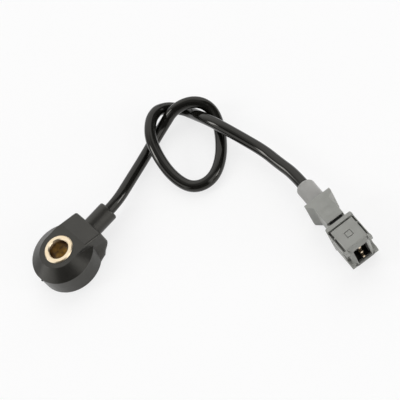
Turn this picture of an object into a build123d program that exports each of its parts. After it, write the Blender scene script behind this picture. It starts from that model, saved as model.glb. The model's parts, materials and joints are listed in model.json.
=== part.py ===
"""Engine knock sensor: a bolt-through head, a knotted pigtail and a 3-pin connector.

The origin is the centre of the bolt bore on the contact face, +Z runs up the bore and +X
runs towards the cable spout. All sizes are in millimetres.
"""

import os
from math import cos, degrees, pi, radians, sin, tan

from build123d import *

# Sleeve
bolt_bore = 8.4
sleeve_diameter = 12.6
sleeve_height = 14.0
sleeve_chamfer = 0.4
flange_diameter = 21.2
flange_thickness = 1.6

# Stack on the sleeve, from the flange upwards
bush_wall = 0.5
stack_diameter = 20.4
insulator_thickness = 0.3
contact_thickness = 0.3
piezo_thickness = 2.8
spring_diameter = 19.0
spring_height = 0.9
spring_thickness = 0.4
nut_diameter = 17.2
nut_thickness = 2.2
nut_depth = 1.9
nut_slots = 4
nut_slot_width = 2.0
nut_slot_depth = 1.2

# Clearances
sliding_fit = 0.05
ring_clearance = 0.1
cavity_clearance = 0.15

# Housing
housing_lift = 0.3
body_diameter = 27.4
crown_diameter = 17.2
crown_rise = 4.0
sleeve_stand = 0.5
block_width = 17.2
block_length = 16.5
block_end_drop = 2.2
block_underside = 1.7
block_toe_length = 2.3
block_toe_height = 3.0
block_corner_radius = 1.2
block_top_radius = 0.9
housing_edge_radius = 0.5
spout_diameter = 8.8
spout_end = 26.5
spout_end_radius = 0.9
foot_top = 2.6
foot_corners = [(8.8, 9.6), (11.6, 9.8), (12.6, 9.0), (13.2, 8.0), (15.4, 3.0)]

# Cable
cable_diameter = 5.0
cable_height = 6.9
cable_grip_length = 9.0
core_diameter = 1.1
core_pitch = 2.8
crimp_diameter = 2.0
crimp_length = 3.0
core_grip_length = 2.6
tab_width = 1.6

# Connector position: middle of the mouth's front edge on the floor, and its heading
plug_x = 75.0
plug_y = -101.3
plug_heading = -101.7

# Connector shell, along its axis from the mouth's front edge
collar_length = 14.05
collar_width = 12.2
collar_height = 15.4
collar_bottom = 2.0
collar_corner_radius = 0.8
rear_plate_thickness = 1.65
neck_length = 13.25
neck_width = 7.7
neck_bottom = 2.0
neck_top = 14.3
slot_length = 2.05
wing_width = 12.0
wing_length = 1.3
wing_flare_length = 2.15

# Mouth and its nose
mouth_width = 6.2
mouth_height = 10.4
mouth_floor = 3.4
mouth_depth = 9.0
mouth_corner_radius = 0.4
nose_width = 9.4
nose_length = 3.4
nose_chamfer = 1.3
ear_length = 1.2
ear_bottom = 13.0
lug_offset = 0.3
lug_top = 4.4
lug_bevel_length = 0.8
lug_bevel_height = 1.2

# Channels beside the lock plate and grooves in the flanks
channel_width = 0.7
channel_bottom = 12.4
channel_wall_top = 14.2
flank_groove_floor = 7.2
flank_groove_height = 1.4
flank_groove_depth = 0.5
flank_groove_front = 3.9

# Lock plate in the collar's top
plate_length = 10.0
plate_width = 10.0
plate_thickness = 1.3
plate_front_offset = 1.5
plate_tab_length = 0.6
plate_tab_reach = 0.5
plate_tab_offset = 6.6
badge_size = 2.2
badge_groove_width = 0.35
badge_groove_depth = 0.3
thumb_mark_diameter = 4.4
thumb_mark_depth = 0.2

# Connector inside
terminal_pitch = 3.75
carrier_width = 5.8
carrier_height = 10.2
carrier_length = 13.6
pin_width = 1.0
pin_thickness = 0.7
pin_tip_chamfer = 0.2
pin_depth_in_mouth = 0.4
terminal_size = 1.6
terminal_body_length = 7.6
terminal_crimp_diameter = 1.6
terminal_crimp_length = 3.2
carrier_front_wall = 1.6
carrier_slot_cover = 0.15
liner_wall = 0.35
liner_setback = 1.2
seal_thickness = 2.2
core_spread_length = 3.6
core_spacing = 1.3

# Boot
boot_height = 7.4
boot_diameter = 7.9
boot_length = 12.0
boot_end_radius = 1.7
boot_grip_length = 9.2

# Values worked out from the sizes above
bore_radius = bolt_bore / 2
sleeve_radius = sleeve_diameter / 2
flange_radius = flange_diameter / 2
body_radius = body_diameter / 2
crown_radius = crown_diameter / 2
stack_radius = stack_diameter / 2
bush_inner_radius = sleeve_radius + sliding_fit
bush_outer_radius = bush_inner_radius + bush_wall
ring_inner_radius = bush_outer_radius + ring_clearance
cable_radius = cable_diameter / 2
spout_radius = spout_diameter / 2

crown_height = sleeve_height - sleeve_stand
shoulder_height = crown_height - crown_rise
block_end_height = crown_height - block_end_drop

lower_contact_z = flange_thickness + insulator_thickness
piezo_z = lower_contact_z + contact_thickness
upper_contact_z = piezo_z + piezo_thickness
upper_insulator_z = upper_contact_z + contact_thickness
mass_z = upper_insulator_z + insulator_thickness
nut_top = sleeve_height - nut_depth
nut_z = nut_top - nut_thickness
spring_z = nut_z - spring_height
mass_thickness = spring_z - mass_z

cable_grip_start = spout_end - cable_grip_length
core_start = cable_grip_start - core_grip_length
tab_end = core_start - crimp_length + core_grip_length - contact_thickness
pocket_half_width = (core_pitch + crimp_diameter) / 2 + cavity_clearance

plug_forward = Vector(cos(radians(plug_heading)), sin(radians(plug_heading)), 0)
plug_left = Vector(-plug_forward.Y, plug_forward.X, 0)
plug_origin = Vector(plug_x, plug_y, 0)
plug_plan = Plane(origin=plug_origin, x_dir=plug_forward, z_dir=(0, 0, 1))
plug_side = Plane(origin=plug_origin, x_dir=plug_forward, z_dir=-plug_left)
plug_axis_height = mouth_floor + mouth_height / 2

neck_end = -collar_length - neck_length
shell_end = neck_end - wing_length
boot_end = shell_end - boot_length
mouth_end = -mouth_depth
rear_plate_front = rear_plate_thickness - collar_length
carrier_end = mouth_end - carrier_length
seal_end = carrier_end - seal_thickness
plug_cable_start = boot_end + boot_grip_length
channel_middle = plate_width / 2 + sliding_fit + channel_width / 2
terminal_heights = [plug_axis_height + terminal_pitch * row for row in (-1, 0, 1)]
slot_floor = terminal_heights[-1] + terminal_size / 2 + sliding_fit + carrier_slot_cover
thumb_mark_radius = ((thumb_mark_diameter / 2) ** 2 + thumb_mark_depth**2) / (2 * thumb_mark_depth)

# The free cord's route between its straight ends, chosen by hand, with a loose overhand knot
cord_lead = 5.0
cord_tail = 7.3
cord_bends = [
    (41.0, 4.0, 5.0), (54.0, 9.0, 2.8), (63.0, 11.5, 2.6), (71.0, 12.0, 4.4), (76.5, 10.5, 8.6),
    (83.0, 7.5, 9.5), (87.0, 3.0, 8.2), (88.0, -2.0, 5.2), (85.5, -8.0, 2.9), (80.0, -14.0, 2.6),
    (74.0, -20.0, 2.7), (67.5, -24.0, 2.6), (62.0, -23.5, 2.7), (57.5, -21.0, 2.6), (55.0, -16.5, 3.0),
    (55.0, -8.5, 4.8), (57.0, 0.5, 7.4), (60.5, 9.0, 9.4), (66.5, 15.0, 9.6), (71.5, 17.5, 8.3),
    (74.5, 18.0, 6.4), (77.5, 16.5, 4.4), (79.0, 13.5, 2.9), (80.0, 10.0, 2.6), (81.0, 5.5, 3.1),
    (81.0, 0.5, 5.5), (81.5, -5.5, 8.3), (82.5, -12.5, 9.4), (84.2, -25.0, 7.8), (85.4, -36.5, 6.8),
    (85.0, -46.0, 7.2),
]


def ring(inner_radius, outer_radius, bottom, height):
    """A flat ring round the bore's axis."""
    with BuildPart() as blank:
        with BuildSketch(Plane.XY.offset(bottom)):
            Circle(outer_radius)
            Circle(inner_radius, mode=Mode.SUBTRACT)
        extrude(amount=height)
    return blank


def contact_ring(bottom, side):
    """A contact ring whose tab runs out at one side and turns up beside its crimp."""
    crimp_y = side * core_pitch / 2
    tab_top = cable_height + crimp_diameter / 2
    with BuildPart() as blank:
        with BuildSketch(Plane.XY.offset(bottom)):
            Circle(stack_radius)
            with Locations((tab_end / 2 + ring_inner_radius / 2, crimp_y)):
                Rectangle(tab_end - ring_inner_radius, tab_width)
            Circle(ring_inner_radius, mode=Mode.SUBTRACT)
        extrude(amount=contact_thickness)
        with BuildSketch(Plane.YZ.offset(tab_end)):
            with Locations((crimp_y, (bottom + tab_top) / 2)):
                Rectangle(tab_width, tab_top - bottom)
        extrude(amount=contact_thickness)
    return blank


def plug_station(u):
    """The plane across the connector at a place along its axis: x is left, y is up."""
    return Plane(origin=plug_origin + plug_forward * u, x_dir=plug_left, z_dir=plug_forward)


def plug_point(u, v, z):
    """A point given along, across and above the connector's axis."""
    return plug_origin + plug_forward * u + plug_left * v + Vector(0, 0, z)


# Sleeve
with BuildPart() as sleeve:
    with BuildSketch(Plane.XZ):
        with BuildLine():
            Polyline(
                (bore_radius, 0),
                (flange_radius, 0),
                (flange_radius, flange_thickness),
                (sleeve_radius, flange_thickness),
                (sleeve_radius, sleeve_height),
                (bore_radius, sleeve_height),
                close=True,
            )
        make_face()
    revolve(axis=Axis.Z)
    rims = sleeve.edges().filter_by(GeomType.CIRCLE).filter_by(lambda edge: edge.radius < flange_radius)
    chamfer(rims.group_by(Axis.Z)[0] + rims.group_by(Axis.Z)[-1], length=sleeve_chamfer)

# Insulating bush and washers
insulating_bush = ring(
    bush_inner_radius,
    bush_outer_radius,
    flange_thickness,
    nut_z - flange_thickness - ring_clearance,
)
lower_insulator = ring(ring_inner_radius, stack_radius, flange_thickness, insulator_thickness)
lower_contact = contact_ring(lower_contact_z, -1)
piezo_ring = ring(ring_inner_radius, stack_radius, piezo_z, piezo_thickness)
upper_contact = contact_ring(upper_contact_z, 1)
upper_insulator = ring(ring_inner_radius, stack_radius, upper_insulator_z, insulator_thickness)
seismic_mass = ring(ring_inner_radius, stack_radius, mass_z, mass_thickness)

# Disc spring, a shallow cone between the mass and the nut
with BuildPart() as disc_spring:
    with BuildSketch(Plane.XZ):
        with BuildLine():
            Polyline(
                (spring_diameter / 2, spring_z),
                (spring_diameter / 2, spring_z + spring_thickness),
                (ring_inner_radius, nut_z),
                (ring_inner_radius, nut_z - spring_thickness),
                close=True,
            )
        make_face()
    revolve(axis=Axis.Z)

# Ring nut with spanner slots
with BuildPart() as clamp_nut:
    with BuildSketch(Plane.XY.offset(nut_z)):
        Circle(nut_diameter / 2)
        Circle(bush_inner_radius, mode=Mode.SUBTRACT)
        with PolarLocations(nut_diameter / 2, nut_slots):
            Rectangle(2 * nut_slot_depth, nut_slot_width, mode=Mode.SUBTRACT)
    extrude(amount=nut_thickness)

# Housing: turned body with a tapered crown, the cable block and the spout
with BuildPart() as housing:
    with BuildSketch(Plane.XZ):
        with BuildLine():
            Polyline(
                (0, housing_lift),
                (body_radius, housing_lift),
                (body_radius, shoulder_height),
                (crown_radius, crown_height),
                (0, crown_height),
                close=True,
            )
        make_face()
    revolve(axis=Axis.Z)
    with BuildSketch(Plane.XZ):
        with BuildLine():
            Polyline(
                (0, block_underside),
                (block_length - block_toe_length, block_underside),
                (block_length, block_underside + block_toe_height),
                (block_length, block_end_height),
                (crown_radius, crown_height),
                (0, crown_height),
                close=True,
            )
        make_face()
    extrude(amount=block_width / 2, both=True)
    fillet(housing.edges().filter_by(Axis.Z).group_by(Axis.X)[-1], radius=block_corner_radius)
    end_rim = housing.faces().filter_by(Axis.X).sort_by(Axis.X)[-1].edges()
    fillet(end_rim.group_by(Axis.Z)[-1], radius=block_top_radius)
    rims = housing.edges().filter_by(GeomType.CIRCLE).filter_by(lambda edge: edge.radius > crown_radius)
    fillet(rims.group_by(Axis.Z)[0], radius=housing_edge_radius)
    with BuildSketch(Plane.YZ.offset(block_length - block_toe_length)):
        with Locations((0, cable_height)):
            Circle(spout_radius)
    extrude(amount=spout_end - block_length + block_toe_length)
    spout_rim = housing.edges().filter_by(GeomType.CIRCLE).sort_by(Axis.X)[-1]
    fillet(spout_rim, radius=spout_end_radius)
    # Foot under the block
    with BuildSketch(Plane.XY.offset(housing_lift)):
        with BuildLine():
            Polyline((0, foot_corners[0][1]), *foot_corners, (foot_corners[-1][0], 0))
            mirror(about=Plane.XZ)
            Line((0, -foot_corners[0][1]), (0, foot_corners[0][1]))
        make_face()
    extrude(amount=foot_top - housing_lift)
    # Cavity for the stack, open at the base
    with BuildSketch(Plane.XZ):
        with BuildLine():
            Polyline(
                (0, 0),
                (flange_radius + sliding_fit, 0),
                (flange_radius + sliding_fit, spring_z + cavity_clearance),
                (spring_diameter / 2 + cavity_clearance, spring_z + cavity_clearance),
                (spring_diameter / 2 + cavity_clearance, spring_z + spring_thickness + cavity_clearance),
                (nut_diameter / 2 + cavity_clearance, nut_z),
                (nut_diameter / 2 + cavity_clearance, nut_top + cavity_clearance),
                (sleeve_radius + sliding_fit, nut_top + cavity_clearance),
                (sleeve_radius + sliding_fit, sleeve_height),
                (0, sleeve_height),
                close=True,
            )
        make_face()
    revolve(axis=Axis.Z, mode=Mode.SUBTRACT)
    # Pocket for the contact tabs
    with BuildSketch(Plane.YZ.offset(ring_inner_radius)):
        tab_top = cable_height + crimp_diameter / 2 + cavity_clearance
        with Locations((0, (flange_thickness + tab_top) / 2)):
            Rectangle(2 * pocket_half_width, tab_top - flange_thickness)
    extrude(amount=tab_end + contact_thickness + cavity_clearance - ring_inner_radius, mode=Mode.SUBTRACT)
    # Pocket for the crimps and cores
    with BuildSketch(Plane.YZ.offset(tab_end)):
        with Locations((0, cable_height)):
            Rectangle(2 * pocket_half_width, crimp_diameter + 2 * cavity_clearance)
    extrude(amount=cable_grip_start - tab_end, mode=Mode.SUBTRACT)
    # Bore that grips the cable
    with BuildSketch(Plane.YZ.offset(cable_grip_start)):
        with Locations((0, cable_height)):
            Circle(cable_radius + sliding_fit)
    extrude(amount=cable_grip_length, mode=Mode.SUBTRACT)

# Crimps and cores inside the block
signal_crimps = {}
head_cores = {}
for number, side in ((1, -1), (2, 1)):
    core_place = (side * core_pitch / 2, cable_height)
    with BuildPart() as signal_crimps[number]:
        with BuildSketch(Plane.YZ.offset(tab_end + contact_thickness)):
            with Locations(core_place):
                Circle(crimp_diameter / 2)
                Circle(core_diameter / 2 + sliding_fit, mode=Mode.SUBTRACT)
        extrude(amount=crimp_length)
    with BuildPart() as head_cores[number]:
        with BuildSketch(Plane.YZ.offset(core_start)):
            with Locations(core_place):
                Circle(core_diameter / 2)
        extrude(amount=cable_grip_start - core_start)

# Captive end of the cable in the spout
with BuildPart() as cable_head_end:
    with BuildSketch(Plane.YZ.offset(cable_grip_start)):
        with Locations((0, cable_height)):
            Circle(cable_radius)
    extrude(amount=cable_grip_length)


def route_radii(points):
    """The largest tangent arc at each corner that takes 0.45 of the shorter run."""
    radii = []
    for before, corner, after in zip(points, points[1:], points[2:]):
        run_in = Vector(*corner) - Vector(*before)
        run_out = Vector(*after) - Vector(*corner)
        half_turn = radians(run_in.get_angle(run_out)) / 2
        radii.append(0.45 * min(run_in.length, run_out.length) / tan(half_turn))
    return radii


# Free cord: straight runs joined by tangent arcs, face to face with its captive ends
cord_start = [(spout_end, 0, cable_height), (spout_end + cord_lead, 0, cable_height)]
cord_finish = [
    tuple(plug_point(boot_end - cord_tail, 0, boot_height)),
    tuple(plug_point(boot_end, 0, boot_height)),
]
cord_route = cord_start + cord_bends + cord_finish
cord_radii = route_radii(cord_route)
with BuildPart() as cord:
    with BuildLine() as cord_line:
        FilletPolyline(*cord_route, radius=cord_radii)
    with BuildSketch(Plane(origin=cord_route[0], z_dir=(1, 0, 0))):
        Circle(cable_radius)
    sweep(path=cord_line.wires()[0])

# Connector shell: plan outline crossed with side outline, then the nose, channels and mouth
with BuildPart() as connector_shell:
    with BuildSketch(plug_plan):
        with BuildLine():
            Polyline(
                (0, 0),
                (0, collar_width / 2),
                (-collar_length, collar_width / 2),
                (-collar_length, neck_width / 2),
                (neck_end + wing_flare_length, neck_width / 2),
                (neck_end, wing_width / 2),
                (shell_end, wing_width / 2),
                (shell_end, 0),
            )
            mirror(about=Plane.XZ)
        make_face()
    extrude(amount=collar_height)
    with BuildSketch(plug_side):
        with BuildLine():
            Polyline(
                (0, collar_bottom),
                (0, collar_height),
                (-collar_length, collar_height),
                (-collar_length, neck_top),
                (shell_end, neck_top),
                (shell_end, 0),
                (neck_end + wing_flare_length, 0),
                (neck_end + wing_flare_length, neck_bottom),
                (-collar_length, neck_bottom),
                (-collar_length, 0),
                (rear_plate_front, 0),
                (rear_plate_front, collar_bottom),
                close=True,
            )
        make_face()
    extrude(amount=wing_width, both=True, mode=Mode.INTERSECT)
    uprights = connector_shell.edges().filter_by(Axis.Z)
    fillet(uprights.filter_by(lambda edge: edge.length > neck_top), radius=collar_corner_radius)
    # Front end down to the ears, then the nose with its bevel all round
    with BuildSketch(plug_plan):
        with Locations((-nose_length / 2, 0)):
            Rectangle(nose_length, collar_width)
    extrude(amount=ear_bottom, mode=Mode.SUBTRACT)
    with BuildSketch(plug_plan.offset(ear_bottom)):
        with Locations((-nose_chamfer / 2, 0)):
            Rectangle(nose_chamfer, nose_width)
    extrude(amount=collar_height - ear_bottom, mode=Mode.SUBTRACT)
    nose_centre = (0, (collar_bottom + collar_height) / 2)
    with BuildSketch(plug_station(-nose_length)):
        with Locations(nose_centre):
            Rectangle(nose_width, collar_height - collar_bottom)
    extrude(amount=nose_length - nose_chamfer)
    with BuildSketch(plug_station(-nose_chamfer)):
        with Locations(nose_centre):
            Rectangle(nose_width, collar_height - collar_bottom)
    extrude(amount=nose_chamfer, taper=45)
    for side in (-1, 1):
        # Lug at the foot of the nose
        lug_plane = plug_side.offset(-side * mouth_width / 2)
        with BuildSketch(lug_plane):
            with BuildLine():
                Polyline(
                    (-nose_length, collar_bottom),
                    (-nose_length, lug_top),
                    (-lug_offset - lug_bevel_length, lug_top),
                    (-lug_offset, lug_top - lug_bevel_height),
                    (-lug_offset, collar_bottom),
                    close=True,
                )
            make_face()
        extrude(amount=-side * (collar_width - mouth_width) / 2)
        # Channel beside the lock plate, with a lower wall outside it
        with BuildSketch(plug_plan.offset(channel_bottom)):
            with Locations(((rear_plate_front - ear_length) / 2, side * channel_middle)):
                Rectangle(-rear_plate_front - ear_length, channel_width)
        extrude(amount=collar_height - channel_bottom, mode=Mode.SUBTRACT)
        with BuildSketch(plug_plan.offset(channel_wall_top)):
            with Locations(((rear_plate_front - ear_length) / 2, side * collar_width / 2)):
                Rectangle(-rear_plate_front - ear_length, collar_width - 2 * channel_middle)
        extrude(amount=collar_height - channel_wall_top, mode=Mode.SUBTRACT)
        with BuildSketch(plug_plan.offset(flank_groove_floor)):
            with Locations(((rear_plate_front - flank_groove_front) / 2, side * collar_width / 2)):
                Rectangle(-rear_plate_front - flank_groove_front, 2 * flank_groove_depth)
        extrude(amount=flank_groove_height, mode=Mode.SUBTRACT)
    # Pocket for the lock plate, with a groove behind it
    with BuildSketch(plug_plan.offset(collar_height - plate_thickness)):
        with Locations(((rear_plate_front - plate_front_offset) / 2, 0)):
            Rectangle(-rear_plate_front - plate_front_offset, plate_width + 2 * sliding_fit)
    extrude(amount=plate_thickness, mode=Mode.SUBTRACT)
    # Slot between the collar and the thumb pad, down to the carrier
    with BuildSketch(plug_plan.offset(slot_floor)):
        with Locations((-collar_length - slot_length / 2, 0)):
            Rectangle(slot_length, neck_width)
    extrude(amount=neck_top - slot_floor, mode=Mode.SUBTRACT)
    # Thumb mark, a shallow round dimple
    thumb_mark_centre = neck_top - thumb_mark_depth + thumb_mark_radius
    with Locations(plug_point((neck_end - collar_length) / 2, 0, thumb_mark_centre)):
        Sphere(thumb_mark_radius, mode=Mode.SUBTRACT)
    # Mouth
    with BuildSketch(plug_station(0)):
        with Locations((0, plug_axis_height)):
            RectangleRounded(mouth_width, mouth_height, mouth_corner_radius)
    extrude(amount=mouth_end, mode=Mode.SUBTRACT)
    # Core space for the carrier and the seal, open at the rear
    with BuildSketch(plug_station(shell_end)):
        with Locations((0, plug_axis_height)):
            Rectangle(carrier_width + 2 * sliding_fit, carrier_height + 2 * sliding_fit)
    extrude(amount=mouth_end - shell_end, mode=Mode.SUBTRACT)

# Lock plate with its side tabs and its plain square boss
with BuildPart() as lock_plate:
    with BuildSketch(plug_plan.offset(collar_height - plate_thickness)):
        with Locations((-plate_front_offset - sliding_fit - plate_length / 2, 0)):
            Rectangle(plate_length, plate_width)
        with Locations((-plate_front_offset - plate_tab_offset - plate_tab_length / 2, 0)):
            Rectangle(plate_tab_length, plate_width + 2 * plate_tab_reach)
    extrude(amount=plate_thickness)
    with BuildSketch(plug_plan.offset(collar_height - badge_groove_depth)):
        with Locations((-plate_front_offset - plate_length / 2, 0)):
            Rectangle(badge_size + 2 * badge_groove_width, badge_size + 2 * badge_groove_width)
            Rectangle(badge_size, badge_size, mode=Mode.SUBTRACT)
    extrude(amount=badge_groove_depth, mode=Mode.SUBTRACT)

# Carrier that holds the terminals
with BuildPart() as terminal_carrier:
    with BuildSketch(plug_station(carrier_end)):
        with Locations((0, plug_axis_height)):
            Rectangle(carrier_width, carrier_height)
    extrude(amount=carrier_length)
    # Thin liner round the pins, inside the mouth
    with BuildSketch(plug_station(mouth_end)):
        with Locations((0, plug_axis_height)):
            RectangleRounded(
                mouth_width - 2 * sliding_fit,
                mouth_height - 2 * sliding_fit,
                mouth_corner_radius - sliding_fit,
            )
            Rectangle(
                mouth_width - 2 * sliding_fit - 2 * liner_wall,
                mouth_height - 2 * sliding_fit - 2 * liner_wall,
                mode=Mode.SUBTRACT,
            )
    extrude(amount=mouth_depth - liner_setback)
    # Slot floor under the shell's slot
    with BuildSketch(plug_plan.offset(slot_floor)):
        with Locations((-collar_length - slot_length / 2, 0)):
            Rectangle(slot_length, carrier_width)
    extrude(amount=carrier_height, mode=Mode.SUBTRACT)
    with BuildSketch(plug_station(carrier_end)):
        for height in terminal_heights:
            with Locations((0, height)):
                Rectangle(terminal_size + 2 * sliding_fit, terminal_size + 2 * sliding_fit)
    extrude(amount=carrier_length - carrier_front_wall, mode=Mode.SUBTRACT)
    with BuildSketch(plug_station(mouth_end)):
        for height in terminal_heights:
            with Locations((0, height)):
                Rectangle(pin_width + 2 * sliding_fit, pin_thickness + 2 * sliding_fit)
    extrude(amount=-carrier_front_wall, mode=Mode.SUBTRACT)

# Terminals: pin, box body and crimp barrel
body_start = mouth_end - carrier_front_wall
crimp_start = body_start - terminal_body_length
crimp_end = crimp_start - terminal_crimp_length
terminals = {}
plug_cores = {}
for number, height in enumerate(terminal_heights, start=1):
    with BuildPart() as terminals[number]:
        with BuildSketch(plug_station(body_start)):
            with Locations((0, height)):
                Rectangle(pin_width, pin_thickness)
        extrude(amount=-pin_depth_in_mouth - body_start)
        pin_tip = terminals[number].faces().sort_by(Axis(plug_origin, plug_forward))[-1]
        chamfer(pin_tip.edges(), length=pin_tip_chamfer)
        with BuildSketch(plug_station(body_start)):
            with Locations((0, height)):
                Rectangle(terminal_size, terminal_size)
        extrude(amount=-terminal_body_length)
        with BuildSketch(plug_station(crimp_start)):
            with Locations((0, height)):
                Circle(terminal_crimp_diameter / 2)
        extrude(amount=-terminal_crimp_length)
        with BuildSketch(plug_station(crimp_end)):
            with Locations((0, height)):
                Circle(core_diameter / 2 + sliding_fit)
        extrude(amount=terminal_crimp_length, mode=Mode.SUBTRACT)
    # The core runs straight out of the cable, spreads to its row and ends in the crimp
    core_height = boot_height + (height - plug_axis_height) * core_spacing / terminal_pitch
    with BuildPart() as plug_cores[number]:
        with BuildLine() as core_line:
            Polyline(
                plug_point(plug_cable_start, 0, core_height),
                plug_point(seal_end - core_spread_length, 0, core_height),
                plug_point(seal_end - core_diameter, 0, height),
                plug_point(crimp_start, 0, height),
            )
        with BuildSketch(Plane(origin=core_line.line @ 0, z_dir=plug_forward)):
            Circle(core_diameter / 2)
        sweep(path=core_line.wires()[0], transition=Transition.RIGHT)

# Rear seal round the three cores
with BuildPart() as rear_seal:
    with BuildSketch(plug_station(seal_end)):
        with Locations((0, plug_axis_height)):
            RectangleRounded(carrier_width, carrier_height, carrier_width / 4)
        for height in terminal_heights:
            with Locations((0, height)):
                Circle(core_diameter / 2 + sliding_fit, mode=Mode.SUBTRACT)
    extrude(amount=seal_thickness)

# Round boot on the shell's rear face
with BuildPart() as connector_boot:
    with BuildSketch(plug_station(boot_end)):
        with Locations((0, boot_height)):
            Circle(boot_diameter / 2)
    extrude(amount=boot_length)
    fillet(connector_boot.edges().sort_by(Axis(plug_origin, plug_forward))[0], radius=boot_end_radius)
    with BuildSketch(plug_station(boot_end)):
        with Locations((0, boot_height)):
            Circle(cable_radius + sliding_fit)
    extrude(amount=boot_length, mode=Mode.SUBTRACT)

# Captive end of the cable in the boot
with BuildPart() as cable_plug_end:
    with BuildSketch(plug_station(boot_end)):
        with Locations((0, boot_height)):
            Circle(cable_radius)
    extrude(amount=boot_grip_length)

pieces = {
    "sleeve": sleeve,
    "insulating_bush": insulating_bush,
    "lower_insulator": lower_insulator,
    "lower_contact": lower_contact,
    "piezo_ring": piezo_ring,
    "upper_contact": upper_contact,
    "upper_insulator": upper_insulator,
    "seismic_mass": seismic_mass,
    "disc_spring": disc_spring,
    "clamp_nut": clamp_nut,
    "housing": housing,
    "cable_head_end": cable_head_end,
    "cord": cord,
    "cable_plug_end": cable_plug_end,
    "connector_boot": connector_boot,
    "rear_seal": rear_seal,
    "terminal_carrier": terminal_carrier,
    "connector_shell": connector_shell,
    "lock_plate": lock_plate,
}
for number in (1, 2):
    pieces[f"signal_crimp_{number}"] = signal_crimps[number]
    pieces[f"head_core_{number}"] = head_cores[number]
for number in (1, 2, 3):
    pieces[f"terminal_{number}"] = terminals[number]
    pieces[f"plug_core_{number}"] = plug_cores[number]

os.makedirs("parts", exist_ok=True)
for piece_name, piece in pieces.items():
    piece.part.label = piece_name
    export_step(piece.part, f"parts/{piece_name}.step")

cord_length = cord_line.wires()[0].length
print("cord radii", [round(radius, 1) for radius in cord_radii])
print("cord length", round(cord_length, 1), "volume", round(cord.part.volume, 1))
print("section times length", round(pi * cable_radius**2 * cord_length, 1))
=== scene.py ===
import json
import math

import bmesh
import bpy
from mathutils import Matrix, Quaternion, Vector


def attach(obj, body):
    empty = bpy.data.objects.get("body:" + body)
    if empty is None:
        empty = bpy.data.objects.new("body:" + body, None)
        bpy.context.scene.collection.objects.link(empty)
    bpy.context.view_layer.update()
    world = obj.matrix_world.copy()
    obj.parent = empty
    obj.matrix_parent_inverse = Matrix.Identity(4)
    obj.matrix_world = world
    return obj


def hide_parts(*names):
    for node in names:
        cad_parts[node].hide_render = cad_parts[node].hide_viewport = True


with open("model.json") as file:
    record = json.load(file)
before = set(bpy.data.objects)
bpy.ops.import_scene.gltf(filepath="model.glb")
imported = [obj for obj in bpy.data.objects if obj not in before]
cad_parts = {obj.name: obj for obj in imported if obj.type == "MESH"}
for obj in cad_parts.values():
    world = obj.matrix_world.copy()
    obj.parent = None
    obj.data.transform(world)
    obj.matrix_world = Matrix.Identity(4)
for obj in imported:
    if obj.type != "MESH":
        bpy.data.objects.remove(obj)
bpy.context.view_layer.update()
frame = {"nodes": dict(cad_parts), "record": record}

NODES = frame["nodes"]
MM_PER_M = 1000

# Camera at the photograph's angle
CAMERA_PLACE = Vector((-0.01808, -0.31329, 0.43073))
CAMERA_AIM = Vector((0.05436, -0.02528, 0.0))
CAMERA_ROLL = -35.229
CAMERA_LENS = 114.07

camera_data = bpy.data.cameras.new("camera")
camera_data.lens = CAMERA_LENS
camera_data.sensor_width = 36.0
camera_data.clip_start = 0.01
camera_data.clip_end = 20.0
camera = bpy.data.objects.new("camera", camera_data)
camera.location = CAMERA_PLACE
camera.rotation_mode = "QUATERNION"
look = (CAMERA_AIM - CAMERA_PLACE).to_track_quat("-Z", "Y")
camera.rotation_quaternion = look @ Quaternion((0, 0, 1), math.radians(CAMERA_ROLL))
bpy.context.scene.collection.objects.link(camera)
bpy.context.scene.camera = camera

# Cord: the source's route with small shifts, in metres, as one spline's control points
CORD_POINTS = [
    (0.0265, 0.0, 0.0069), (0.0315, 0.0, 0.0069), (0.041, 0.0037, 0.005), (0.0541, 0.0085, 0.0028),
    (0.063, 0.0113, 0.0026), (0.071, 0.0122, 0.0042), (0.0764, 0.0104, 0.0086), (0.0826, 0.0072, 0.0095),
    (0.0865, 0.0028, 0.0083), (0.0874, -0.0019, 0.0053), (0.0848, -0.0073, 0.0028),
    (0.0799, -0.0139, 0.0026), (0.0739, -0.0199, 0.0027), (0.0674, -0.0236, 0.0026),
    (0.0618, -0.024, 0.0027), (0.0573, -0.0213, 0.0026), (0.0549, -0.0165, 0.003),
    (0.0546, -0.0085, 0.0048), (0.0569, 0.0005, 0.0074), (0.0608, 0.0087, 0.0094), (0.0667, 0.0146, 0.0096),
    (0.0714, 0.0166, 0.0085), (0.0741, 0.0172, 0.0064), (0.0772, 0.0162, 0.0044), (0.0793, 0.0136, 0.0029),
    (0.0808, 0.0104, 0.0026), (0.0816, 0.0058, 0.003), (0.0816, 0.0007, 0.0055), (0.0818, -0.0054, 0.0085),
    (0.0825, -0.0125, 0.0094), (0.0842, -0.025, 0.0078), (0.0854, -0.0365, 0.0068),
    (0.0848, -0.046, 0.0072), (0.084714, -0.054395, 0.0074), (0.083233, -0.061544, 0.0074),
]
CORD_DIAMETER = 0.005

cord_curve = bpy.data.curves.new("cable_run", "CURVE")
cord_curve.dimensions = "3D"
cord_curve.resolution_u = 10
cord_curve.bevel_depth = 1.0
cord_curve.bevel_resolution = 10
cord_curve.use_fill_caps = True
spline = cord_curve.splines.new("NURBS")
spline.points.add(len(CORD_POINTS) - 1)
for control, place in zip(spline.points, CORD_POINTS):
    control.co = (*place, 1.0)
    control.radius = CORD_DIAMETER / 2
spline.order_u = 3
spline.use_endpoint_u = True
cable_run = bpy.data.objects.new("cable_run", cord_curve)
bpy.context.scene.collection.objects.link(cable_run)

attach(cable_run, "root")
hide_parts("cord")

# Sockets of the Mix node when it mixes colours
MIX_SHARE = 0
MIX_FIRST = 6
MIX_SECOND = 7
MIX_RESULT = 2

# Cosine between the true and the rounded normal where the painted edge highlight (partly wear) starts to
# show and where it is full
EDGE_START = 0.995
EDGE_FULL = 0.75


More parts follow.
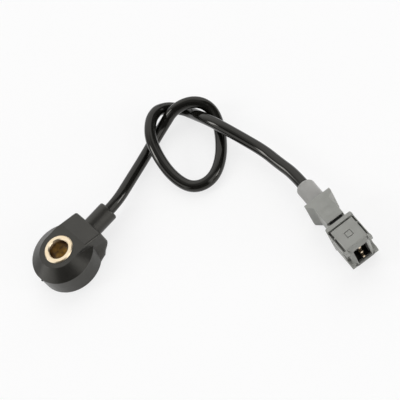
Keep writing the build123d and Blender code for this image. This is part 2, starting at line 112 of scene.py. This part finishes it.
class NodeTree:
    """Short calls for the nodes of one tree, with its texture coordinates."""

    def __init__(self, tree, coordinates):
        self.tree = tree
        self.place = tree.nodes.new("ShaderNodeTexCoord").outputs[coordinates]

    def add(self, kind, **settings):
        node = self.tree.nodes.new(kind)
        for key, value in settings.items():
            setattr(node, key, value)
        return node

    def link(self, output, target):
        self.tree.links.new(output, target)

    def feed(self, target, value):
        """Link a socket, or set it where the value is a plain number or colour."""
        if hasattr(value, "links"):
            self.link(value, target)
        else:
            target.default_value = value

    def noise(self, scale, detail=3.0, roughness=0.55, distortion=0.0):
        node = self.add("ShaderNodeTexNoise")
        node.inputs["Scale"].default_value = scale
        node.inputs["Detail"].default_value = detail
        node.inputs["Roughness"].default_value = roughness
        node.inputs["Distortion"].default_value = distortion
        self.link(self.place, node.inputs["Vector"])
        return node.outputs["Fac"]

    def math(self, operation, first, second=0.0):
        node = self.add("ShaderNodeMath", operation=operation)
        self.feed(node.inputs[0], first)
        self.feed(node.inputs[1], second)
        return node.outputs[0]

    def weigh(self, share, first, second):
        """The sum of two values, the first by its share and the second by what is left."""
        return self.math(
            "ADD", self.math("MULTIPLY", first, share), self.math("MULTIPLY", second, 1 - share)
        )

    def spread(self, value, low, high, to_low=0.0, to_high=1.0):
        """The value mapped from one range to another and held at its ends."""
        node = self.add("ShaderNodeMapRange")
        self.feed(node.inputs["Value"], value)
        node.inputs["From Min"].default_value = low
        node.inputs["From Max"].default_value = high
        node.inputs["To Min"].default_value = to_low
        node.inputs["To Max"].default_value = to_high
        return node.outputs["Result"]

    def blend(self, share, first, second):
        """A mix of two colours, each given as a socket or as three numbers."""
        node = self.add("ShaderNodeMix", data_type="RGBA")
        self.feed(node.inputs[MIX_SHARE], share)
        for index, colour in ((MIX_FIRST, first), (MIX_SECOND, second)):
            self.feed(node.inputs[index], colour if hasattr(colour, "links") else (*colour, 1.0))
        return node.outputs[MIX_RESULT]

    def bump(self, height, strength, distance, normal=None):
        node = self.add("ShaderNodeBump")
        node.inputs["Strength"].default_value = strength
        node.inputs["Distance"].default_value = distance
        self.link(height, node.inputs["Height"])
        if normal is not None:
            self.link(normal, node.inputs["Normal"])
        return node.outputs["Normal"]


class Shader(NodeTree):
    """A material with a Principled shader, whose plain sockets are given by name."""

    def __init__(self, name, **sockets):
        self.material = bpy.data.materials.new(name)
        self.material.use_nodes = True
        super().__init__(self.material.node_tree, "Object")
        self.shader = self.tree.nodes["Principled BSDF"]
        for socket, value in sockets.items():
            self.shader.inputs[socket.replace("_", " ")].default_value = value

    def soft_edges(self, radius):
        """The normal with every edge rounded, and how near the point is to an edge."""
        bevel = self.add("ShaderNodeBevel", samples=6)
        bevel.inputs["Radius"].default_value = radius
        facing = self.add("ShaderNodeNewGeometry").outputs["Normal"]
        turn = self.add("ShaderNodeVectorMath", operation="DOT_PRODUCT")
        self.link(bevel.outputs["Normal"], turn.inputs[0])
        self.link(facing, turn.inputs[1])
        return bevel.outputs["Normal"], self.spread(turn.outputs["Value"], EDGE_START, EDGE_FULL)

    def set(self, socket, value):
        self.link(value, self.shader.inputs[socket])


def moulded(name, low, high, edge, rough, grain, bevel, **sockets):
    """Moulded plastic: faint flow mottling, fine spark texture, and softened edges painted slightly paler
    (painted edge highlight, partly wear).
    """
    made = Shader(name, **sockets)
    cloud = made.noise(scale=140.0, detail=3.0, roughness=0.6)
    speck = made.noise(scale=2600.0, detail=2.0, roughness=0.7)
    tone = made.weigh(0.7, cloud, speck)
    body = made.blend(made.spread(tone, low=0.36, high=0.64), low, high)
    normal, near_edge = made.soft_edges(bevel)
    # Paler edges: painted edge highlight, partly wear, broken up by noise.
    edge_patch_noise = made.noise(scale=900.0, detail=2.0)
    painted_edge_highlight_and_wear = made.math("MULTIPLY", near_edge, made.spread(edge_patch_noise, low=0.3, high=0.7, to_low=0.35, to_high=1.0))
    made.set("Base Color", made.blend(painted_edge_highlight_and_wear, body, edge))
    patch = made.noise(scale=420.0, detail=4.0)
    made.set("Roughness", made.spread(patch, low=0.3, high=0.7, to_low=rough[0], to_high=rough[1]))
    spark = made.noise(scale=5200.0, detail=2.0, roughness=0.6)
    fine = made.bump(spark, strength=grain, distance=0.00003, normal=normal)
    made.set("Normal", made.bump(cloud, strength=0.25, distance=0.0002, normal=fine))
    return made.material


def jacket():
    """Black cable jacket: glossy, with faint flow lines, fine dust and a slightly uneven skin."""
    made = Shader("cable_jacket", IOR=1.47, Specular_Tint=(1.0, 0.98, 0.92, 1.0))
    smear = made.noise(scale=90.0, detail=3.0, roughness=0.6, distortion=0.6)
    dust = made.noise(scale=2600.0, detail=2.0, roughness=0.7)
    tone = made.weigh(0.6, smear, dust)
    clean, dusty = (0.003, 0.0028, 0.0022), (0.009, 0.0085, 0.007)
    made.set("Base Color", made.blend(made.spread(tone, low=0.35, high=0.7), clean, dusty))
    made.set("Roughness", made.spread(smear, low=0.3, high=0.7, to_low=0.07, to_high=0.12))
    uneven = made.noise(scale=170.0, detail=1.0, roughness=0.4)
    made.set("Normal", made.bump(uneven, strength=0.10, distance=0.0003))
    return made.material


# Turning marks in radians per metre, and the radii and heights between which the bore's stain sets in
FACE_MARKS = 42000.0
BORE_MARKS = 30000.0
STAIN_RADII = (0.00438, 0.0043)
STAIN_HEIGHTS = (0.0138, 0.0122)
STAIN_ROUGHNESS = 0.1


def turned_brass():
    """Brass sleeve: turned rings and a bright face, with a darker oxidised bore."""
    made = Shader("turned_brass", Metallic=1.0)
    split = made.add("ShaderNodeSeparateXYZ")
    made.link(made.place, split.inputs[0])
    across = made.math("MULTIPLY", split.outputs["X"], split.outputs["X"])
    along = made.math("MULTIPLY", split.outputs["Y"], split.outputs["Y"])
    radius = made.math("SQRT", made.math("ADD", across, along))
    rings = made.math("SINE", made.math("MULTIPLY", radius, FACE_MARKS))
    threads = made.math("SINE", made.math("MULTIPLY", split.outputs["Z"], BORE_MARKS))
    in_bore = made.spread(radius, *STAIN_RADII)
    below = made.spread(split.outputs["Z"], *STAIN_HEIGHTS)
    depth = made.math("MULTIPLY", in_bore, below)
    blotch = made.noise(scale=260.0, detail=3.0, roughness=0.55)
    deep, pale = (0.82, 0.66, 0.44), (0.88, 0.75, 0.56)
    bright = made.blend(made.spread(blotch, low=0.3, high=0.7), deep, pale)
    tarnish = made.noise(scale=330.0, detail=3.0)
    dark, brown = (0.05, 0.021, 0.002), (0.27, 0.14, 0.016)
    stain = made.blend(made.spread(tarnish, low=0.35, high=0.65), dark, brown)
    made.set("Base Color", made.blend(depth, bright, stain))
    polish = made.spread(blotch, low=0.3, high=0.7, to_low=0.26, to_high=0.34)
    made.set("Roughness", made.math("ADD", polish, made.math("MULTIPLY", depth, STAIN_ROUGHNESS)))
    face = made.bump(rings, strength=0.06, distance=0.00002)
    made.set("Normal", made.bump(threads, strength=0.06, distance=0.00002, normal=face))
    return made.material


def stamped(name, low, high, rough, scale):
    """Sheet or drawn metal with rolling streaks and tarnish."""
    made = Shader(name, Metallic=1.0)
    tarnish = made.noise(scale=scale, detail=4.0, roughness=0.6, distortion=0.4)
    made.set("Base Color", made.blend(made.spread(tarnish, low=0.3, high=0.7), low, high))
    patch = made.noise(scale=scale * 3, detail=3.0)
    made.set("Roughness", made.spread(patch, low=0.3, high=0.7, to_low=rough[0], to_high=rough[1]))
    streak = made.add("ShaderNodeTexWave", wave_type="BANDS", bands_direction="DIAGONAL")
    streak.inputs["Scale"].default_value = scale * 2
    streak.inputs["Distortion"].default_value = 3.0
    made.link(made.place, streak.inputs["Vector"])
    made.set("Normal", made.bump(streak.outputs["Fac"], strength=0.08, distance=0.00003))
    return made.material


def plain_solid(name, low, high, rough, scale):
    """Insulator, ceramic or rubber: mottled colour with a fine matt grain."""
    made = Shader(name)
    mottle = made.noise(scale=scale, detail=4.0, roughness=0.6)
    made.set("Base Color", made.blend(made.spread(mottle, low=0.3, high=0.7), low, high))
    patch = made.noise(scale=scale * 2, detail=3.0)
    made.set("Roughness", made.spread(patch, low=0.3, high=0.7, to_low=rough[0], to_high=rough[1]))
    grain = made.noise(scale=scale * 8, detail=2.0)
    made.set("Normal", made.bump(grain, strength=0.2, distance=0.00004))
    return made.material


# The edge colours of the mouldings below are paler than their bodies: painted edge highlight, partly wear.
FINISHES = {
    "brass": turned_brass(),
    "insulator": plain_solid(
        "insulator", low=(0.50, 0.38, 0.18), high=(0.66, 0.52, 0.28), rough=(0.4, 0.55), scale=900.0,
    ),
    "contact_brass": stamped(
        "contact_brass", low=(0.70, 0.52, 0.26), high=(0.86, 0.68, 0.38), rough=(0.22, 0.38), scale=500.0,
    ),
    "piezo_ceramic": plain_solid(
        "piezo_ceramic", low=(0.56, 0.54, 0.46), high=(0.68, 0.66, 0.58), rough=(0.5, 0.65), scale=1400.0,
    ),
    "steel": stamped(
        "steel", low=(0.48, 0.48, 0.47), high=(0.62, 0.62, 0.61), rough=(0.28, 0.42), scale=420.0,
    ),
    "black_moulding": moulded(
        "black_moulding", low=(0.0095, 0.0090, 0.0078), high=(0.0140, 0.0132, 0.0115),
        edge=(0.036, 0.034, 0.030), rough=(0.30, 0.38), grain=0.25, bevel=0.00014,
        IOR=1.56, Specular_Tint=(1.0, 0.975, 0.90, 1.0),
    ),
    "copper_core": stamped(
        "copper_core", low=(0.66, 0.34, 0.20), high=(0.82, 0.48, 0.30), rough=(0.25, 0.4), scale=800.0,
    ),
    "cable_jacket": jacket(),
    "grey_boot": moulded(
        "grey_boot", low=(0.30, 0.295, 0.28), high=(0.345, 0.34, 0.325),
        edge=(0.40, 0.395, 0.38), rough=(0.42, 0.55), grain=0.22, bevel=0.0002,
    ),
    "grey_moulding": moulded(
        "grey_moulding", low=(0.27, 0.272, 0.25), high=(0.31, 0.312, 0.29),
        edge=(0.46, 0.46, 0.43), rough=(0.40, 0.54), grain=0.22, bevel=0.00028,
    ),
    "seal_rubber": plain_solid(
        "seal_rubber", low=(0.24, 0.09, 0.035), high=(0.34, 0.14, 0.06), rough=(0.5, 0.65), scale=700.0,
    ),
    "terminal_brass": stamped(
        "terminal_brass", low=(0.93, 0.72, 0.48), high=(1.0, 0.9, 0.74), rough=(0.3, 0.4), scale=600.0,
    ),
}

for part in frame["record"]["subparts"]:
    materials = NODES[part["node"]].data.materials
    materials.clear()
    materials.append(FINISHES[part["material_slot"]])
# The carrier is coloured darker than the black moulding: painted shade for the deep inside of the mouth.
NODES["terminal_carrier"].data.materials[0] = moulded(
    "carrier_painted_shade", low=(0.006, 0.006, 0.0055), high=(0.010, 0.010, 0.009),
    edge=(0.02, 0.02, 0.018), rough=(0.4, 0.5), grain=0.2, bevel=0.0001,
)
cord_curve.materials.append(FINISHES["cable_jacket"])

# Small forms over the solids, whose edges stay sharp where they turn by this angle or more
SHARP_ANGLE = math.radians(30)


def loft(name, rings, slot):
    """A closed piece through rings of as many points each, its sharp edges marked."""
    shape = bmesh.new()
    rows = [[shape.verts.new(place) for place in ring] for ring in rings]
    for low, high in zip(rows, rows[1:]):
        for a, b, c, d in zip(low, low[1:] + low[:1], high[1:] + high[:1], high):
            shape.faces.new((a, b, c, d))
    shape.faces.new(rows[0][::-1])
    shape.faces.new(rows[-1])
    bmesh.ops.recalc_face_normals(shape, faces=shape.faces[:])
    for face in shape.faces:
        face.smooth = True
    for edge in shape.edges:
        edge.smooth = edge.calc_face_angle(0.0) < SHARP_ANGLE
    mesh = bpy.data.meshes.new(name)
    shape.to_mesh(mesh)
    shape.free()
    mesh.materials.append(FINISHES[slot])
    piece = bpy.data.objects.new(name, mesh)
    bpy.context.scene.collection.objects.link(piece)
    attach(piece, "root")
    return piece


def corner(x, y, radius, start, steps=6):
    """A quarter round about a corner's centre, from an angle in degrees."""
    turns = [math.radians(start + 90 * step / steps) for step in range(steps + 1)]
    return [(x + radius * math.cos(turn), y + radius * math.sin(turn)) for turn in turns]


# Toe under the cable block, in millimetres
TOE_CORNER = 1.2
TOE_INNER = 12.0
TOE_INNER_STEPS = 16
# Height, reach and half width of each ring
TOE_LEVELS = [
    (0.32, 13.25, 8.42), (0.45, 13.5, 8.55), (0.7, 13.85, 8.62), (1.5, 14.8, 8.64), (2.5, 15.8, 8.64),
    (2.9, 16.15, 8.64), (3.4, 16.42, 8.64), (4.0, 16.53, 8.63), (4.9, 16.54, 8.62), (7.5, 16.38, 8.5),
]


def toe_outline(end, half):
    """Plan of the toe: straight sides, round end corners and an arc inside the wall."""
    side = math.asin(half / TOE_INNER)
    back = [side - 2 * side * step / TOE_INNER_STEPS for step in range(TOE_INNER_STEPS + 1)]
    return (
        corner(end - TOE_CORNER, TOE_CORNER - half, TOE_CORNER, -90)
        + corner(end - TOE_CORNER, half - TOE_CORNER, TOE_CORNER, 0)
        + [(TOE_INNER * math.cos(turn), TOE_INNER * math.sin(turn)) for turn in back]
    )


loft(
    "block_toe",
    [
        [(x / MM_PER_M, y / MM_PER_M, height / MM_PER_M) for x, y in toe_outline(end, half)]
        for height, end, half in TOE_LEVELS
    ],
    "black_moulding",
)

# Webs between the round wall and the block's sides: height and outer line of each ring, in millimetres
WEB_LEVELS = [
    (0.32, [(7.5, 10.9), (8.6, 10.5), (9.9, 10.15), (11.3, 9.8), (12.2, 9.25), (12.9, 8.6), (13.2, 8.0)]),
    (1.0, [(7.5, 10.95), (8.6, 10.6), (9.9, 10.25), (11.35, 9.9), (12.4, 9.35), (13.3, 8.75), (13.9, 8.3)]),
    (2.4, [(7.5, 10.9), (8.6, 10.5), (9.9, 10.15), (11.4, 9.88), (12.75, 9.4), (14.0, 8.8), (15.2, 8.5)]),
    (3.6, [(7.5, 10.4), (8.6, 10.0), (9.9, 9.6), (11.4, 9.35), (12.9, 9.0), (14.4, 8.72), (15.4, 8.5)]),
    (5.2, [(7.5, 9.6), (8.6, 9.2), (9.9, 9.0), (11.4, 8.9), (12.9, 8.75), (14.4, 8.62), (15.4, 8.45)]),
    (7.5, [(7.5, 8.9), (8.6, 8.7), (9.9, 8.62), (11.4, 8.58), (12.9, 8.5), (14.4, 8.45), (15.4, 8.4)]),
]
WEB_INNER = 7.2
WEB_BACK = 8.2
WEB_END_SLOPE = 0.2
for name, side in (("foot_web_1", 1), ("foot_web_2", -1)):
    loft(
        name,
        [
            [
                (x / MM_PER_M, side * y / MM_PER_M, height / MM_PER_M)
                for x, y in outline + [(outline[-1][0] - WEB_END_SLOPE, WEB_INNER), (WEB_BACK, WEB_INNER)]
            ]
            for height, outline in WEB_LEVELS
        ],
        "black_moulding",
    )

# Middle of the plug's front on the floor, in metres, and the plug's heading
PLUG_ORIGIN = Vector((0.075, -0.1013, 0.0))
PLUG_HEADING = math.radians(-101.7)
PLUG_FORWARD = Vector((math.cos(PLUG_HEADING), math.sin(PLUG_HEADING), 0.0))
PLUG_LEFT = Vector((-PLUG_FORWARD.y, PLUG_FORWARD.x, 0.0))

# Lower lip of the mouth, in millimetres
LIP_HALF_WIDTH = 4.6
LIP_HALF_TOP = 3.7
LIP_LOW = 2.05
LIP_SHOULDER = 3.2
LIP_HIGH = 3.75
LIP_CORNER = 1.1
# Place along the plug and inset of each ring
LIP_RINGS = ((-0.75, 0.0), (-0.35, 0.0), (-0.15, 0.06), (-0.04, 0.16), (0.0, 0.3))


def plug_place(forward, left, height):
    """A place given in millimetres along the plug, to its left and above the floor."""
    return PLUG_ORIGIN + (PLUG_FORWARD * forward + PLUG_LEFT * left + Vector((0, 0, height))) / MM_PER_M


def lip_outline(inset):
    """Front view of the lip: round lower corners and sloped ends."""
    left = LIP_HALF_WIDTH - inset
    top = LIP_HALF_TOP - inset
    low = LIP_LOW + inset
    high = LIP_HIGH - inset
    return (
        [(left, LIP_SHOULDER), (top, high), (-top, high), (-left, LIP_SHOULDER)]
        + corner(-left + LIP_CORNER, low + LIP_CORNER, LIP_CORNER, 180)
        + corner(left - LIP_CORNER, low + LIP_CORNER, LIP_CORNER, 270)
    )


lip = loft(
    "mouth_lip",
    [
        [plug_place(forward, left, height) for left, height in lip_outline(inset)]
        for forward, inset in LIP_RINGS
    ],
    "grey_moulding",
)
# The lip is a darker grey than the shell: painted shade for a face turned down and away from the lamps.
lip.data.materials[0] = moulded(
    "lip_painted_shade", low=(0.15, 0.15, 0.138), high=(0.19, 0.19, 0.175),
    edge=(0.27, 0.27, 0.25), rough=(0.42, 0.55), grain=0.22, bevel=0.0002,
)

# Web that closes the shell's rear opening round the boot, in millimetres
REAR_FACE = -28.6
REAR_MIDDLE = 8.6
REAR_HALF_WIDE = 2.99
REAR_HALF_HIGH = 5.19
REAR_DEPTHS = (0.02, 1.0)
rear_web = loft(
    "rear_web",
    [
        [
            plug_place(REAR_FACE + depth, REAR_HALF_WIDE * left, REAR_MIDDLE + REAR_HALF_HIGH * up)
            for left, up in ((1, -1), (1, 1), (-1, 1), (-1, -1))
        ]
        for depth in REAR_DEPTHS
    ],
    "grey_moulding",
)

# Mould mark on the head's wall: a low round stub, in millimetres
STUB_TURN = math.radians(265)
STUB_OUT = Vector((math.sin(STUB_TURN), math.cos(STUB_TURN), 0.0))
STUB_SIDE = Vector((STUB_OUT.y, -STUB_OUT.x, 0.0))
STUB_HEIGHT = 8.5
STUB_POINTS = 12
# Reach from the head's axis and radius of each ring
STUB_LEVELS = ((13.2, 0.5), (13.75, 0.48), (13.95, 0.42), (14.08, 0.28), (14.12, 0.1))
stub_turns = [math.radians(360 / STUB_POINTS * step) for step in range(STUB_POINTS)]
loft(
    "mould_stub",
    [
        [
            (
                STUB_OUT * reach
                + STUB_SIDE * radius * math.cos(turn)
                + Vector((0, 0, STUB_HEIGHT + radius * math.sin(turn)))
            ) / MM_PER_M
            for turn in stub_turns
        ]
        for reach, radius in STUB_LEVELS
    ],
    "black_moulding",
)

# Floor, far larger than the view: white paper, partly lit by itself as the camera and reflections see it
REACH = 6.0
PAPER_GLOW = 0.76
floor_mesh = bpy.data.meshes.new("floor")
floor_mesh.from_pydata(
    [(-REACH, -REACH, 0), (REACH, -REACH, 0), (REACH, REACH, 0), (-REACH, REACH, 0)],
    [],
    [(0, 1, 2, 3)],
)
floor = bpy.data.objects.new("floor", floor_mesh)
bpy.context.scene.collection.objects.link(floor)
paper = Shader("floor_paper", Roughness=0.9, Specular_IOR_Level=0.1)
paper_tone = paper.spread(paper.noise(scale=9.0, detail=2.0), low=0.3, high=0.7)
paper.set("Base Color", paper.blend(paper_tone, (0.93, 0.93, 0.93), (0.95, 0.95, 0.95)))
rays = paper.add("ShaderNodeLightPath").outputs
seen = paper.math("MAXIMUM", rays["Is Camera Ray"], rays["Is Glossy Ray"])
seen = paper.math("MAXIMUM", seen, rays["Is Transmission Ray"])
glow = paper.add("ShaderNodeEmission")
mixer = paper.add("ShaderNodeMixShader")
paper.link(paper.math("MULTIPLY", seen, PAPER_GLOW), mixer.inputs[0])
paper.link(paper.shader.outputs[0], mixer.inputs[1])
paper.link(glow.outputs[0], mixer.inputs[2])
paper.link(mixer.outputs[0], paper.tree.nodes["Material Output"].inputs["Surface"])
floor_mesh.materials.append(paper.material)

# One large soft lamp behind the object (azimuth 0 is +Y, 90 is +X)
LAMP_AZIMUTH = math.radians(50)
LAMP_ELEVATION = math.radians(52)
LAMP_SPREAD = math.radians(50)
lamp_data = bpy.data.lights.new("key", "SUN")
lamp_data.energy = 0.55
lamp_data.angle = LAMP_SPREAD
lamp = bpy.data.objects.new("key", lamp_data)
lamp_side = math.cos(LAMP_ELEVATION)
toward = Vector((
    math.sin(LAMP_AZIMUTH) * lamp_side,
    math.cos(LAMP_AZIMUTH) * lamp_side,
    math.sin(LAMP_ELEVATION),
))
lamp.rotation_mode = "QUATERNION"
lamp.rotation_quaternion = toward.to_track_quat("Z", "Y")
lamp.visible_glossy = False
bpy.context.scene.collection.objects.link(lamp)


# Studio surround: dim all round, brighter straight overhead, with five soft boxes
class Surround(NodeTree):
    """A world whose light comes from soft boxes."""

    def __init__(self, name):
        self.world = bpy.data.worlds.new(name)
        self.world.use_nodes = True
        super().__init__(self.world.node_tree, "Generated")
        split = self.add("ShaderNodeSeparateXYZ")
        self.link(self.place, split.inputs[0])
        self.axes = split.outputs

    def soft_step(self, value, before, after):
        """From 0 to 1 between the sines of two elevations in degrees."""
        return self.spread(value, math.sin(math.radians(before)), math.sin(math.radians(after)))

    def soft_box(self, azimuth, width, low, high, strength, fades=(4.0, 4.0), edge=4.0):
        """A rectangle of light between two elevations, centred on an azimuth, all in degrees."""
        turn = math.radians(azimuth)
        x, y, z = self.axes
        ahead = self.math(
            "ADD", self.math("MULTIPLY", x, math.sin(turn)), self.math("MULTIPLY", y, math.cos(turn))
        )
        aside = self.math(
            "SUBTRACT", self.math("MULTIPLY", x, math.cos(turn)), self.math("MULTIPLY", y, math.sin(turn))
        )
        away = self.math("ARCTAN2", aside, ahead)
        half = math.radians(width / 2)
        first, last = (math.radians(fade / 2) for fade in fades)
        rise = self.spread(away, -half - first, -half + first)
        fall = self.spread(away, half + last, half - last)
        across = self.math("MULTIPLY", self.math("MULTIPLY", rise, fall), strength)
        above = self.soft_step(z, low - edge / 2, low + edge / 2)
        below = self.soft_step(z, high + edge / 2, high - edge / 2)
        return self.math("MULTIPLY", across, self.math("MULTIPLY", above, below))


SOFT_BOXES = (
    {"azimuth": 32, "width": 120, "low": 8, "high": 68, "strength": 1.12, "fades": (56, 6), "edge": 14},
    {"azimuth": -50, "width": 13, "low": 22, "high": 46, "strength": 7.0},
    {"azimuth": 146, "width": 20, "low": 0, "high": 22, "strength": 5.0},
    {"azimuth": 164, "width": 44, "low": -6, "high": 58, "strength": 1.45, "fades": (10, 14), "edge": 8},
    {"azimuth": -72, "width": 46, "low": -4, "high": 40, "strength": 1.2, "fades": (16, 4), "edge": 8},
)
studio = Surround("studio")
bpy.context.scene.world = studio.world
level = studio.spread(studio.axes["Z"], low=0.85, high=1.0, to_low=0.12, to_high=0.45)
for box in SOFT_BOXES:
    level = studio.math("ADD", level, studio.soft_box(**box))
backdrop = studio.tree.nodes["Background"]
studio.link(level, backdrop.inputs["Strength"])
backdrop.inputs["Color"].default_value = (1.0, 1.0, 1.0, 1.0)

bpy.context.scene.view_settings.view_transform = "Standard"
